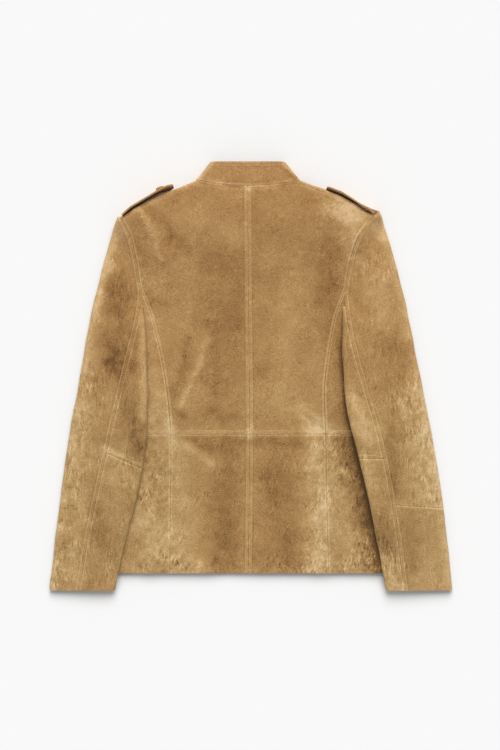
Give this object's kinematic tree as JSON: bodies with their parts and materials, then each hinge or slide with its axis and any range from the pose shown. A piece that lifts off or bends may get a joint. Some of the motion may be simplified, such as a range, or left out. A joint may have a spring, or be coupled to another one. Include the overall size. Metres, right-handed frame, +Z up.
{
  "type": "suede jacket",
  "caption": "Fitted hip-length suede jacket laid flat on its fronts: stand collar, shoulder straps, shaped back panels, waist seam and two-piece sleeves.",
  "frame": {"origin": "on the surface the jacket lies on, under the middle of its outline", "axes": "+Y from the hem toward the collar, +Z up out of the back of the jacket, -X toward the wearer's left sleeve"},
  "size_m": [0.6449, 0.6846, 0.0336],
  "materials": {
    "suede": "tan suede, matt with a soft brushed nap",
    "strap_button": "button covered in the same suede"
  },
  "bodies": {
    "root": {"back_left": "suede", "back_right": "suede", "side_back_left": "suede", "side_back_right": "suede", "skirt_back_left": "suede", "skirt_back_right": "suede", "skirt_side_left": "suede", "skirt_side_right": "suede", "front_left": "suede", "front_right": "suede", "collar": "suede", "top_sleeve_left": "suede", "top_sleeve_right_upper": "suede", "top_sleeve_right_lower": "suede", "under_sleeve_left_upper": "suede", "under_sleeve_left_lower": "suede", "under_sleeve_right_upper": "suede", "under_sleeve_right_lower": "suede", "shoulder_strap_left": "suede", "shoulder_strap_right": "suede", "strap_button_left": "strap_button", "strap_button_right": "strap_button"}
  },
  "joints": []
}
